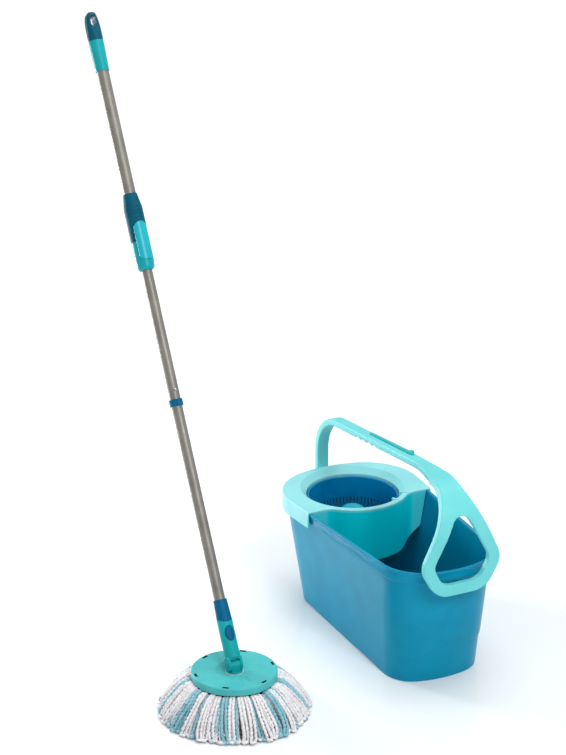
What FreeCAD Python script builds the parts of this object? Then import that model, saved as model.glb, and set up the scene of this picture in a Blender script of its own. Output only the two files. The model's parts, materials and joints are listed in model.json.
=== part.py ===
"""A spin mop and its bucket: every piece as its own solid, in millimetres.

The origin is the middle of the bucket's base on the floor. +Z is up, +X runs along the bucket towards its
water end, and the mop stands on the floor at -Y. Pole pieces are drawn along their own +Z, from the hinge
pin up, with their front at +X, and are then leaned to where the mop stands.
"""
import FreeCAD, Part
import math
import os

V = FreeCAD.Vector
X_AXIS, Y_AXIS, Z_AXIS = V(1, 0, 0), V(0, 1, 0), V(0, 0, 1)

# Clearances
RUN = 0.06          # radial gap of a shaft that turns or slides in a bore
GAP = 0.4           # gap between neighbours that move
SEAT = 0.0          # pieces that are fixed together touch

# Bucket tub: plan outline at the rim and at the base. Each end has a reach, two corners and a bow
RIM_H = 260.0
BASKET_X = -150.0
RIM = {
    "far_x": 275.0, "far_r": 116.0, "far_y": 33.0, "far_bow": 244.0,
    "end_x": 295.0, "end_r": 95.0, "end_y": 29.0, "end_bow": 226.0,
}
BASE = {
    "far_x": 252.5, "far_r": 78.0, "far_y": 17.0, "far_bow": 230.0,
    "end_x": 255.0, "end_r": 67.0, "end_y": 36.0, "end_bow": 210.0,
}
TUB_WALL = 2.6
TUB_FLOOR = 3.0
TUB_FLOOR_Z = 5.0
BAND_H = 26.0       # rim band
BAND_PROUD = 5.0
LIP_R = 3.0
NOTCH_H = 2.5       # raised stretches of the base edge
NOTCHES = ((-190.0, -125.0), (60.0, 140.0))
FOOT_PAD_R = 14.0   # pad in the middle of the base, where two stiffening ribs cross
FOOT_RIB = 3.0

# Insert: collar, funnel, basket well and partition
COLLAR_T = 3.5
COLLAR_SKIRT = 35.0
COLLAR_WALL = 2.6
COLLAR_END_X = BASKET_X + 76.0
INSERT_WALL = 3.0
WALL_TOP_Z = RIM_H + 1.0    # the partition stops inside the collar, under its rounded edge
BASKET_R = 97.5
WELL_R = BASKET_R + 2.0
WELL_ROUND = 22.0
BULGE_R = WELL_R + 19.5   # outer face of the partition where it bulges round the well
BULGE_FILLET = 34.0
FUNNEL_R = WELL_R + 11.0
FUNNEL_SHIFT = 3.0
FUNNEL_DEEP = 12.0
WING_DEEP = 62.0
DRAIN_R = 5.0
DRAIN_COUNT = 8
RAMP_ANGLES = (28.0, 50.0)

# Basket
BASKET_FOOT_R = BASKET_R - 9.5
BASKET_H = 88.0
BASKET_DROP = 16.0  # rim below the collar's top
BASKET_WALL = 2.2
SLOT_COUNT = 72
SLOT_W = 3.2
SLOT_LOW = 9.0
SLOT_PLAIN_TOP = 45.0
HUB_R = 33.5
HUB_DROP = 26.0
HUB_WALL = 2.5
HUB_DOME_H = 20.0
AXLE_R = 4.0
BUSH_R = 8.0
CLIP_R = 7.0
CLIP_T = 1.0

# Bail
BAIL_PIVOT_Z = RIM_H - 32.0
BAIL_T = 14.0
BAIL_W = 27.0
BAIL_FAR = RIM["far_x"] + 20.0          # middle of the arm at the round end, out along X
BAIL_NEAR = RIM["end_x"] + 9.0          # middle of the loop at the water end
BAIL_TOP_FAR = BAIL_PIVOT_Z + 152.0
BAIL_TOP_NEAR = BAIL_PIVOT_Z + 201.0
BAIL_CREST_X = BAIL_NEAR - 154.0
BAIL_BEND_FAR = 92.0
BAIL_BEND_NEAR = 92.0
BAIL_SPLIT_X = BAIL_NEAR - 154.0        # where the strap's edge starts to spread into the loop
LOOP_NECK = 22.0                        # half widths and heights of the loop's corners
LOOP_NECK_Z = BAIL_PIVOT_Z + 196.0
LOOP_WIDE = 91.0
LOOP_WIDE_Z = BAIL_PIVOT_Z + 50.0
LOOP_FOOT = 56.0
LOOP_FOOT_Z = BAIL_PIVOT_Z - 15.0
LOOP_BAND = 24.0
LOOP_APEX_Z = BAIL_PIVOT_Z + 174.0
PIVOT_R = 4.0
PIVOT_BOSS_R = 9.0
FINGER_X = (-110.0, -85.5, -61.0, -36.5)
FINGER_R = 11.0
FINGER_DEEP = 3.2
RAIL_X = (-82.0, 96.0)
RAIL_W = 6.0
RAIL_PROUD = 5.0
RAIL_SUNK = 4.0

# Mop head
HEAD_X = 182.0
HEAD_Y = -439.0
PIN_Z = 98.0
DISC_TOP = PIN_Z - 10.0
DISC_R = 85.5
DISC_WALL = 2.5
DISC_PLATE = 3.0
DISC_SIDE = 14.5
BOWL_R = 38.0
BOWL_FLOOR_R = 21.0
BOWL_DEEP = 5.0
STEM_R = 11.0
BOSS_WALL = 5.0
BOSS_H = 15.0
KNUCKLE_HALF = 9.3
KNUCKLE_R = 10.0
FLANGE_R = 17.0
PIN_R = 3.5
PIN_HALF = 15.6
HOOK_COUNT = 6
HOOK_TURN = 22.0
HOOK_AT = DISC_R - 6.5
HOOK_W = 12.0
HOOK_T = 4.0
FRINGE_R = DISC_R + 69.5
RING_INNER = 60.0

# Pole, along itself from the hinge pin
LEAN = 29.5
SOCKET_R = 15.5
SOCKET_BORE = SOCKET_R - 2.6
FORK_ARM_R = 11.0
FORK_TOP = 14.0
COLLAR_LOW = 89.0
COLLAR_TOP = COLLAR_LOW + 42.0
COLLAR_TOP_R = 13.5
BUTTON_AT = 63.0
BUTTON_W = 19.0
BUTTON_L = 30.0
BUTTON_TRAVEL = 3.0
TUBE_R = 11.0
TUBE_WALL = 0.9
TUBE_START = COLLAR_LOW + 7.0
JOINT_AT = 531.0
JOINT_HALF = 7.0
JOINT_R = 13.75
SLEEVE_HALF = 40.0
SNAP_AT = JOINT_AT + 25.0
SNAP_R = 3.0
SNAP_TRAVEL = 2.5
GRIP_LOW = 803.0
GRIP_SPLIT = GRIP_LOW + 60.0
GRIP_TOP = GRIP_LOW + 159.0
GRIP_R = 19.0
GRIP_WALL = 3.0
UPPER_R = TUBE_R + 1.5
UPPER_WALL = 0.9
UPPER_LOW = GRIP_LOW + 77.0
MID_TOP = UPPER_LOW + 50.0
BUSH_LOW = GRIP_LOW + 9.0
BUSH_LEN = 26.0
SLIDER_LOW = GRIP_LOW + 21.0
SLIDER_TOP = GRIP_LOW + 99.0
SLIDER_HALF = 14.0
SLIDER_T = 2.0
SLIDER_TRAVEL = 12.0
STEM_LOW = GRIP_LOW + 45.0
STEM_L = 13.0
STEM_HALF = 3.0
CAP_LOW = 1218.0
CAP_TOP = CAP_LOW + 64.0
CAP_R_LOW = UPPER_R + 1.5
CAP_R_TOP = UPPER_R + 3.0
UPPER_TOP = CAP_LOW + 32.0
ROD_LOW = GRIP_LOW - 43.0
ROD_TOP = CAP_LOW + 18.0
ROD_W = 6.0
ROD_T = 2.4
ROD_PITCH = 80.0
CAGE_LOW = MID_TOP - 40.0
CAGE_LEN = 30.0
CAGE_WALL = 2.7
NUT_LOW = CAGE_LOW + 8.0
NUT_LEN = 14.0
NUT_LIP = 3.0
PLUG_LOW = CAP_LOW + 4.0
PLUG_LEN = 24.0
EYE_TOP = CAP_TOP + 60.0
EYE_HOLE_W = 13.0
EYE_HOLE_L = 22.0

COLLAR_Z = RIM_H + COLLAR_T
BASKET_RIM_Z = COLLAR_Z - BASKET_DROP
BASKET_FLOOR_Z = BASKET_RIM_Z - BASKET_H
WELL_FLOOR_Z = BASKET_FLOOR_Z - 14.0
HUB_TOP_Z = BASKET_RIM_Z - HUB_DROP


# ---------------------------------------------------------------- shared shapes
def rounded(points, radii, closed=True):
    """Edges of a flat path whose corners are tangent arcs; a radius of 0 leaves the corner sharp."""
    count = len(points)
    starts, ends, middles = [], [], []
    for i, p in enumerate(points):
        r = radii[i]
        inner = closed or 0 < i < count - 1
        if not inner or r <= 0:
            starts.append(p)
            ends.append(p)
            middles.append(None)
            continue
        back = (points[i - 1] - p).normalize()
        ahead = (points[(i + 1) % count] - p).normalize()
        half = back.getAngle(ahead) / 2
        reach = r / math.tan(half)
        bisector = (back + ahead).normalize()
        starts.append(p + back * reach)
        ends.append(p + ahead * reach)
        middles.append(p + bisector * (r / math.sin(half) - r))
    edges = []
    for i in range(count if closed else count - 1):
        if middles[i] is not None:
            edges.append(Part.Arc(starts[i], middles[i], ends[i]).toShape())
        following = starts[(i + 1) % count]
        if ends[i].distanceToPoint(following) > 1e-6:
            edges.append(Part.LineSegment(ends[i], following).toShape())
    return edges


def outline_face(points, radii):
    return Part.Face(Part.Wire(rounded(points, radii)))


def turned(profile, radii=None):
    """A solid of revolution about Z from a closed profile of (radius, height) points."""
    points = [V(r, 0, z) for r, z in profile]
    face = outline_face(points, radii or [0] * len(points))
    return face.revolve(V(0, 0, 0), Z_AXIS, 360)


def disc(radius, low, high, x=0.0, y=0.0):
    return Part.makeCylinder(radius, high - low, V(x, y, low))


def ring(outer, inner, low, high, x=0.0, y=0.0):
    return disc(outer, low, high, x, y).cut(disc(inner, low - 1, high + 1, x, y))


def box(x0, x1, y0, y1, z0, z1):
    return Part.makeBox(x1 - x0, y1 - y0, z1 - z0, V(x0, y0, z0))


def rod_along(axis, radius, start, length):
    return Part.makeCylinder(radius, length, start, axis)


def turned_about_z(shape, degrees, x=0.0, y=0.0):
    copy = shape.copy()
    copy.rotate(V(x, y, 0), Z_AXIS, degrees)
    return copy


def at_head(shape):
    copy = shape.copy()
    copy.translate(V(HEAD_X, HEAD_Y, 0))
    return copy


def on_pole(shape):
    """Leans a piece drawn along +Z from the hinge pin to where the pole stands."""
    lean = FreeCAD.Placement(V(HEAD_X, HEAD_Y, PIN_Z), FreeCAD.Rotation(Y_AXIS, -LEAN))
    return shape.transformed(lean.toMatrix())


def save(name, shape):
    tidy = shape.removeSplitter()
    tidy.exportStep("parts/" + name + ".step")


# ---------------------------------------------------------------- bucket
def size_at(z):
    """The tub wall's plan sizes at a height: straight draft from base to rim."""
    share = z / RIM_H
    return {key: BASE[key] + (RIM[key] - BAND_PROUD * (key in SHRINKS) - BASE[key]) * share for key in RIM}


SHRINKS = ("far_x", "far_r", "far_bow", "end_x", "end_r", "end_bow")   # what an inset takes away from


def end_curve(sizes, name, inset):
    """One end's reach, bow radius, corner radius and corner centre, measured out along X."""
    reach, corner_r, bow_r = (sizes[name + key] - inset for key in ("_x", "_r", "_bow"))
    corner_y = sizes[name + "_y"]
    bow_x = reach - bow_r
    corner_x = bow_x + math.sqrt((bow_r - corner_r) ** 2 - corner_y ** 2)
    return reach, bow_r, corner_r, V(bow_x, 0, 0), V(corner_x, corner_y, 0)


def plan_wire(sizes, z, inset=0.0):
    """Two bowed ends with rounded corners, joined by straight tapering sides, all tangent."""
    far_x, far_bow, far_r, far_mid, far_corner = end_curve(sizes, "far", inset)
    end_x, end_bow, end_r, end_mid, end_corner = end_curve(sizes, "end", inset)
    far_mid.x, far_corner.x = -far_mid.x, -far_corner.x
    along = end_corner - far_corner
    lean = math.atan2(along.y, along.x) + math.acos((far_r - end_r) / along.Length)
    normal = V(math.cos(lean), math.sin(lean), 0)

    def corner(middle, centre, radius, bow):
        out = (centre - middle).normalize()
        bend = centre + (normal + out).normalize() * radius
        return centre + normal * radius, bend, middle + out * bow

    far_side, far_bend, far_end = corner(far_mid, far_corner, far_r, far_bow)
    side, bend, end = corner(end_mid, end_corner, end_r, end_bow)

    def low(p):
        return V(p.x, -p.y, z)

    def up(p):
        return V(p.x, p.y, z)

    edges = [
        Part.Arc(low(far_end), V(-far_x, 0, z), up(far_end)).toShape(),
        Part.Arc(up(far_end), up(far_bend), up(far_side)).toShape(),
        Part.LineSegment(up(far_side), up(side)).toShape(),
        Part.Arc(up(side), up(bend), up(end)).toShape(),
        Part.Arc(up(end), V(end_x, 0, z), low(end)).toShape(),
        Part.Arc(low(end), low(bend), low(side)).toShape(),
        Part.LineSegment(low(side), low(far_side)).toShape(),
        Part.Arc(low(far_side), low(far_bend), low(far_end)).toShape(),
    ]
    return Part.Wire(edges)


def drafted(low, high, inset):
    """The space inside the tub wall's plan between two heights."""
    wires = [plan_wire(size_at(low), low, inset), plan_wire(size_at(high), high, inset)]
    return Part.makeLoft(wires, True, True)


def upright(sizes, low, high, inset=0.0):
    return Part.Face(plan_wire(sizes, low, inset)).extrude(V(0, 0, high - low))


def rim_band():
    """The band round the rim, with a rounded lip above."""
    low = RIM_H - BAND_H
    band = upright(RIM, low, RIM_H)
    top = [e for e in band.Edges if all(abs(v.Z - RIM_H) < 1e-6 for v in e.Vertexes)]
    return band.makeFillet(LIP_R, top)


def wall_x(sign):
    """The tub wall's outer face behind a bail pivot, out along X."""
    return size_at(BAIL_PIVOT_Z)["far_x" if sign < 0 else "end_x"]


def arm_x(sign):
    return BAIL_FAR if sign < 0 else BAIL_NEAR


def pivot_boss(sign):
    """A boss on an end wall that the bail's pivot pin turns in."""
    start = wall_x(sign) - TUB_WALL
    face_x = arm_x(sign) - BAIL_T / 2 - GAP
    return rod_along(V(sign, 0, 0), PIVOT_BOSS_R, V(sign * start, 0, BAIL_PIVOT_Z), face_x - start)


def pivot_bore(sign, radius):
    start = wall_x(sign) - TUB_WALL - 8
    tip = arm_x(sign) + BAIL_T / 2 - 4
    return rod_along(V(sign, 0, 0), radius, V(sign * start, 0, BAIL_PIVOT_Z), tip - start)


def foot():
    """Stiffening ribs under the floor that cross in a pad, level with the base edge."""
    top = TUB_FLOOR_Z + 1
    ribs = box(-400, 400, -FOOT_RIB / 2, FOOT_RIB / 2, 0, top)
    ribs = ribs.fuse([box(-FOOT_RIB / 2, FOOT_RIB / 2, -300, 300, 0, top), disc(FOOT_PAD_R, 0, top)])
    return ribs.common(drafted(0, top, TUB_WALL / 2))


def bucket_tub():
    tub = drafted(0, RIM_H, 0).fuse(rim_band())
    tub = tub.cut(drafted(TUB_FLOOR_Z + TUB_FLOOR, RIM_H + 1, TUB_WALL))
    tub = tub.cut(drafted(-1, TUB_FLOOR_Z, TUB_WALL + 1))
    tub = tub.fuse([foot(), pivot_boss(-1), pivot_boss(1)])
    for sign in (-1, 1):
        tub = tub.cut(pivot_bore(sign, PIVOT_R + RUN))
    for low, high in NOTCHES:
        for side in (-200, 60):
            tub = tub.cut(box(low, high, side, side + 140, -1, NOTCH_H))
    return tub


def collar_region(low, high, outset):
    """The plan that the collar covers: the rim's far end, cut off by the partition's S-shaped edge."""
    plan = upright(RIM, low, high, -outset)
    return plan.common(edge_prism(low, high, 0.0))


def edge_prism(low, high, inset):
    """Everything on the far side of the partition's outer face, less an inset."""
    bulge = BULGE_R - inset
    wing_x = COLLAR_END_X - inset
    wing = wing_x - BASKET_X
    fillet = BULGE_FILLET + inset
    joint_y = math.sqrt((bulge + fillet) ** 2 - (wing + fillet) ** 2)
    centre = V(wing_x + fillet, joint_y, low)
    start = V(wing_x, joint_y, low)
    towards = (V(BASKET_X, 0, low) - centre).normalize()
    touch = centre + towards * fillet
    bend = centre + (towards + V(-1, 0, 0)).normalize() * fillet
    wide, far = 300.0, -400.0

    def mirror(p):
        return V(p.x, -p.y, p.z)

    edges = [
        Part.LineSegment(V(far, wide, low), V(wing_x, wide, low)).toShape(),
        Part.LineSegment(V(wing_x, wide, low), start).toShape(),
        Part.Arc(start, bend, touch).toShape(),
        Part.Arc(touch, V(BASKET_X + bulge, 0, low), mirror(touch)).toShape(),
        Part.Arc(mirror(touch), mirror(bend), mirror(start)).toShape(),
        Part.LineSegment(mirror(start), V(wing_x, -wide, low)).toShape(),
        Part.LineSegment(V(wing_x, -wide, low), V(far, -wide, low)).toShape(),
        Part.LineSegment(V(far, -wide, low), V(far, wide, low)).toShape(),
    ]
    return Part.Face(Part.Wire(edges)).extrude(V(0, 0, high - low))


def funnel_space():
    """The bevelled space above the basket, wider towards the round end."""
    low = Part.Wire(Part.makeCircle(WELL_R, V(BASKET_X, 0, COLLAR_Z - FUNNEL_DEEP)))
    high = Part.Wire(Part.makeCircle(FUNNEL_R, V(BASKET_X - FUNNEL_SHIFT, 0, COLLAR_Z + 0.01)))
    return Part.makeLoft([low, high], True, True)


def funnel_wall():
    """The wall behind the bevel, which joins the cup to the collar's top all the way round."""
    low = Part.Wire(Part.makeCircle(WELL_R + INSERT_WALL, V(BASKET_X, 0, COLLAR_Z - FUNNEL_DEEP - INSERT_WALL)))
    high = Part.Wire(Part.makeCircle(FUNNEL_R + INSERT_WALL, V(BASKET_X - FUNNEL_SHIFT, 0, COLLAR_Z - 1)))
    return Part.makeLoft([low, high], True, True)


def partition_reach():
    """How deep the partition goes: deep in the middle, with wings whose lower corners are rounded up."""
    half = RIM["far_r"] + RIM["far_y"]
    wing_z = COLLAR_Z - WING_DEEP
    points = [
        V(-400, -half, WALL_TOP_Z),
        V(-400, -half, wing_z),
        V(-400, -BULGE_R * 0.62, WELL_FLOOR_Z),
        V(-400, BULGE_R * 0.62, WELL_FLOOR_Z),
        V(-400, half, wing_z),
        V(-400, half, WALL_TOP_Z),
    ]
    face = outline_face(points, [0, 30, 60, 60, 30, 0])
    return face.extrude(V(500, 0, 0))


def partition_wall():
    low = WELL_FLOOR_Z
    wall = edge_prism(low, COLLAR_Z, 0.0).cut(edge_prism(low, COLLAR_Z, INSERT_WALL))
    wall = wall.common(drafted(low, RIM_H, TUB_WALL + GAP))
    return wall.common(partition_reach())


def basket_well():
    """A round cup that the basket spins in, with drain holes through its floor."""
    outer = WELL_R + INSERT_WALL
    top = COLLAR_Z - 1
    floor = WELL_FLOOR_Z + INSERT_WALL
    cup = turned(
        [(0, WELL_FLOOR_Z), (outer, WELL_FLOOR_Z), (outer, top), (WELL_R, top), (WELL_R, floor), (0, floor)],
        [0, WELL_ROUND, 0, 0, WELL_ROUND - INSERT_WALL, 0],
    )
    cup.translate(V(BASKET_X, 0, 0))
    for i in range(DRAIN_COUNT):
        hole = disc(DRAIN_R, WELL_FLOOR_Z - 1, floor + 1, BASKET_X + WELL_R * 0.6, 0)
        cup = cup.cut(turned_about_z(hole, 360 * i / DRAIN_COUNT, BASKET_X, 0))
    return cup


def mop_ramps():
    """Two small ribs on the funnel that turn the disc square to the basket."""
    ramps = []
    for angle in RAMP_ANGLES:
        rib = box(BASKET_X + WELL_R, BASKET_X + FUNNEL_R + 6, -2.5, 2.5, COLLAR_Z - 9, COLLAR_Z + 2)
        rib = rib.makeFillet(1.5, [e for e in rib.Edges if e.Vertexes[0].Z > COLLAR_Z + 1])
        ramps.append(turned_about_z(rib, angle, BASKET_X, 0))
    return ramps


def insert_frame():
    outset = COLLAR_WALL
    skirt_low = COLLAR_Z - COLLAR_SKIRT
    collar = collar_region(skirt_low, COLLAR_Z, outset)
    top = [e for e in collar.Edges if all(abs(v.Z - COLLAR_Z) < 1e-6 for v in e.Vertexes)]
    collar = collar.makeFillet(COLLAR_WALL * 0.8, top)
    collar = collar.cut(upright(RIM, skirt_low - 1, RIM_H, SEAT))
    frame = collar.fuse([partition_wall(), basket_well(), funnel_wall()])
    frame = frame.cut(disc(WELL_R, WELL_FLOOR_Z + WELL_ROUND, COLLAR_Z + 5, BASKET_X, 0))
    frame = frame.cut(funnel_space())
    frame = frame.fuse(mop_ramps())
    boss_z = BAIL_PIVOT_Z
    inner_x = BASKET_X - 50
    notch = rod_along(V(-1, 0, 0), PIVOT_BOSS_R + 1, V(inner_x, 0, boss_z), 200)
    notch = notch.fuse(box(-400, inner_x, -PIVOT_BOSS_R - 1, PIVOT_BOSS_R + 1, boss_z - 30, boss_z))
    frame = frame.cut(notch.cut(disc(WELL_R + INSERT_WALL + 1, 0, 400, BASKET_X, 0)))
    return frame.cut(disc(AXLE_R, 0, 400, BASKET_X, 0))


def basket_axle():
    floor = WELL_FLOOR_Z + INSERT_WALL
    top = HUB_TOP_Z - HUB_WALL - 3
    axle = disc(AXLE_R, WELL_FLOOR_Z - 3, top, BASKET_X, 0)
    axle = axle.fuse(disc(AXLE_R + 4, WELL_FLOOR_Z - 4, WELL_FLOOR_Z, BASKET_X, 0))
    axle = axle.fuse(disc(AXLE_R + 5, floor, floor + 2, BASKET_X, 0))
    groove = ring(AXLE_R + 1, AXLE_R - 0.8, CLIP_Z, CLIP_Z + CLIP_T, BASKET_X, 0)
    return axle.cut(groove)


CLIP_Z = HUB_TOP_Z - HUB_WALL - 6
BUSH_LOW_Z = WELL_FLOOR_Z + INSERT_WALL + 2 + GAP
BUSH_TOP_Z = CLIP_Z - GAP


def basket_clip():
    clip = ring(CLIP_R, AXLE_R - 0.8, CLIP_Z, CLIP_Z + CLIP_T, BASKET_X, 0)
    mouth = box(BASKET_X, BASKET_X + 10, -2, 2, CLIP_Z - 1, CLIP_Z + 2)
    return clip.cut(mouth)


def bail_pivots():
    return [pivot_bore(sign, PIVOT_R) for sign in (-1, 1)]


# ---------------------------------------------------------------- basket
def spin_basket():
    low, high = BASKET_FLOOR_Z, BASKET_RIM_Z
    basket = turned(
        [
            (BUSH_R, low),
            (BASKET_FOOT_R, low),
            (BASKET_R - 2.0, high - 3),
            (BASKET_R, high - 3),
            (BASKET_R, high),
            (BASKET_R - BASKET_WALL - 2.0, high),
            (BASKET_FOOT_R - BASKET_WALL, low + BASKET_WALL),
            (BUSH_R, low + BASKET_WALL),
        ],
        [0, 8, 0, 1, 1, 1.5, 6, 0],
    )
    slots = []
    for i in range(SLOT_COUNT):
        slot = box(HUB_R + 44, BASKET_R + 5, -SLOT_W / 2, SLOT_W / 2, low + SLOT_LOW, high - SLOT_PLAIN_TOP)
        slots.append(turned_about_z(slot, 360 * i / SLOT_COUNT))
    for i in range(DRAIN_COUNT * 2):
        drain = box(HUB_R + 8, BASKET_FOOT_R - 12, -2.5, 2.5, low - 1, low + BASKET_WALL + 1)
        slots.append(turned_about_z(drain, 180 * i / DRAIN_COUNT))
    basket = basket.cut(slots)
    basket.translate(V(BASKET_X, 0, 0))
    return basket


def basket_hub():
    """The domed hub that the mop's disc sits over, with a boss inside for the bush."""
    low = BASKET_FLOOR_Z + BASKET_WALL
    top = HUB_TOP_Z
    shoulder = top - HUB_DOME_H
    inner = HUB_R - HUB_WALL
    boss = BUSH_R + 3
    under = CLIP_Z - 3
    hub = turned(
        [
            (boss - 1, low),
            (HUB_R, low),
            (HUB_R, shoulder),
            (HUB_R * 0.62, top),
            (0, top),
            (0, top - HUB_WALL),
            (inner * 0.6, top - HUB_WALL),
            (inner, shoulder - 1),
            (inner, low + HUB_WALL),
            (boss - 1, low + HUB_WALL),
        ],
        [0, 1, 16, 24, 0, 0, 22, 14, 1, 0],
    )
    sleeve = ring(boss, BUSH_R, low, under)
    spokes = []
    for i in range(4):
        web = box(boss - 1, inner + 0.5, -1.2, 1.2, low, shoulder - 14)
        spokes.append(turned_about_z(web, 90 * i + 45))
    hub = hub.fuse([sleeve] + spokes)
    hub.translate(V(BASKET_X, 0, 0))
    return hub


def basket_bush():
    return ring(BUSH_R, AXLE_R + RUN, BUSH_LOW_Z, BUSH_TOP_Z, BASKET_X, 0)


# ---------------------------------------------------------------- bail
def bail_path(offset):
    """The arch seen from the side, as the edge at an offset outwards from its middle line."""
    low = BAIL_PIVOT_Z - BAIL_W / 2 - 20
    far, near = BAIL_FAR + offset, BAIL_NEAR + offset
    rise = math.atan2(BAIL_TOP_NEAR - BAIL_TOP_FAR, BAIL_CREST_X + BAIL_FAR)
    lift = offset / math.cos(rise)
    points = [
        V(-far, 0, low),
        V(-far, 0, BAIL_TOP_FAR + lift - offset * math.tan(rise)),
        V(BAIL_CREST_X, 0, BAIL_TOP_NEAR + offset),
        V(near, 0, BAIL_TOP_NEAR - 8 + offset),
        V(near, 0, low),
    ]
    return points, [0, BAIL_BEND_FAR + offset, 500.0, BAIL_BEND_NEAR + offset, 0]


def bail_sheet(half_width):
    """The arch as a bent sheet of the bail's thickness."""
    outer, outer_r = bail_path(BAIL_T / 2)
    inner, inner_r = bail_path(-BAIL_T / 2)
    points = outer + inner[::-1]
    face = outline_face(points, outer_r + inner_r[::-1])
    face.translate(V(0, -half_width, 0))
    return face.extrude(V(0, 2 * half_width, 0))


def mirrored(points):
    """Corners on the +Y side and the middle, followed by the same corners on the -Y side."""
    return points + [V(p.x, -p.y, p.z) for p in points[::-1] if p.y > 0]


def loop_shape():
    """The handle loop from the end: a neck that spreads into a rounded teardrop."""
    points = mirrored([
        V(0, LOOP_NECK, BAIL_TOP_NEAR + 30),
        V(0, LOOP_NECK, LOOP_NECK_Z),
        V(0, LOOP_WIDE, LOOP_WIDE_Z),
        V(0, LOOP_FOOT, LOOP_FOOT_Z),
    ])
    return outline_face(points, [0, 60, 42, 50, 50, 42, 60, 0]).extrude(V(400, 0, 0))


def loop_opening():
    low = LOOP_FOOT_Z + LOOP_BAND
    points = mirrored([
        V(0, 0, LOOP_APEX_Z),
        V(0, LOOP_WIDE - LOOP_BAND - 3, LOOP_WIDE_Z + 3),
        V(0, LOOP_FOOT - 14, low),
    ])
    return outline_face(points, [22, 24, 34, 34, 24]).extrude(V(400, 0, 0))


def bail_handle():
    neck = BAIL_W / 2
    far = bail_sheet(neck)
    arm_end = rod_along(V(-1, 0, 0), neck, V(-BAIL_FAR + BAIL_T / 2, 0, BAIL_PIVOT_Z), BAIL_T)
    far = far.cut(box(-400, 0, -100, 100, 0, BAIL_PIVOT_Z)).fuse(arm_end)
    far = far.cut(box(0, 400, -100, 100, 0, LOOP_NECK_Z - 60))
    spread = box(BAIL_SPLIT_X, 400, -120, 120, 0, 600).common(strap_taper())
    near = bail_sheet(LOOP_WIDE + 10).common(spread).common(loop_shape())
    bail = far.fuse(near).cut(loop_opening())
    fingers = []
    for x in FINGER_X:
        z = bail_mid_z(x) - BAIL_T / 2 - FINGER_R + FINGER_DEEP
        fingers.append(rod_along(Y_AXIS, FINGER_R, V(x, -50, z), 100))
    bail = bail.cut(fingers)
    low, high = RAIL_X
    bail = bail.cut(rail_prism(low - GAP, high + GAP, RAIL_W / 2, 0.0))
    for sign in (-1, 1):
        bail = bail.cut(pivot_bore(sign, PIVOT_R))
    return bail


def strap_taper():
    """From above: the strap widens from its own width to the loop's neck over a short length."""
    half, wide, x0, x1 = BAIL_W / 2, LOOP_WIDE + 12, BAIL_SPLIT_X, BAIL_SPLIT_X + 60
    points = mirrored([V(x0, half, 0), V(x1, LOOP_NECK, 0), V(x1 + 4, wide, 0), V(450, wide, 0)])
    return outline_face(points, [0] * 8).extrude(V(0, 0, 700))


def bail_mid_z(x):
    share = (x + BAIL_FAR) / (BAIL_CREST_X + BAIL_FAR)
    return BAIL_TOP_FAR + (BAIL_TOP_NEAR - BAIL_TOP_FAR) * share


def rail_prism(low, high, half, proud):
    """A strip let into the top of the bail, following its slope."""
    side = 5.0
    z0 = bail_mid_z(low) + BAIL_T / 2
    z1 = bail_mid_z(high) + BAIL_T / 2
    points = [
        V(low, 0, z0 - RAIL_SUNK),
        V(high, 0, z1 - RAIL_SUNK),
        V(high, 0, z1 + proud + 3),
        V(high - 9, 0, z1 + proud + 3),
        V(high - 13, 0, z1 + proud - 2),
        V(low, 0, z0 + proud - 2),
    ]
    if not proud:
        points = [points[0], points[1], V(high, 0, z1 + 20), V(low, 0, z0 + 20)]
    face = Part.Face(Part.Wire(rounded(points, [0] * len(points))))
    face.translate(V(0, side - half, 0))
    return face.extrude(V(0, 2 * half, 0))


def bail_rail():
    low, high = RAIL_X
    return rail_prism(low, high, RAIL_W / 2, RAIL_PROUD)


# ---------------------------------------------------------------- mop head
FLANGE_Z = DISC_TOP - BOWL_DEEP + GAP
STEM_BORE = STEM_R + RUN
BOSS_LOW = DISC_TOP - BOWL_DEEP - BOSS_H


def mop_disc():
    top, bowl = DISC_TOP, DISC_TOP - BOWL_DEEP
    under = DISC_PLATE
    shell = turned(
        [
            (STEM_BORE, bowl),
            (BOWL_FLOOR_R, bowl),
            (BOWL_R, top),
            (DISC_R, top),
            (DISC_R, top - DISC_SIDE),
            (DISC_R - DISC_WALL, top - DISC_SIDE),
            (DISC_R - DISC_WALL, top - under),
            (BOWL_R + 1, top - under),
            (BOWL_FLOOR_R + 1, bowl - under),
            (STEM_BORE + BOSS_WALL, bowl - under),
            (STEM_BORE + BOSS_WALL, BOSS_LOW),
            (STEM_BORE, BOSS_LOW),
        ],
        [0, 6, 6, 2.4, 0, 0, 1, 4, 4, 1, 0, 0],
    )
    pad = box(BOWL_FLOOR_R, BOWL_R + 28, -11, 11, top - under - 2, top - under + 0.5)
    trough = rod_along(X_AXIS, 20, V(BOWL_FLOOR_R, 0, top + 17.8), 42)
    shell = shell.fuse(pad).cut(trough)
    ribs = []
    for i in range(HOOK_COUNT):
        rib = box(BOWL_R + 3, DISC_R - DISC_WALL + 0.5, -1, 1, top - under - 5, top - under + 0.5)
        ribs.append(turned_about_z(rib, HOOK_TURN + 30 + 60 * i))
    shell = shell.fuse(ribs)
    windows = []
    for i in range(HOOK_COUNT):
        half_w, half_t = HOOK_W / 2 + GAP, HOOK_T / 2 + GAP
        window = box(HOOK_AT - half_t, HOOK_AT + half_t, -half_w, half_w, top - 10, top + 1)
        windows.append(turned_about_z(window, HOOK_TURN + 60 * i))
    return at_head(shell.cut(windows))


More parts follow.
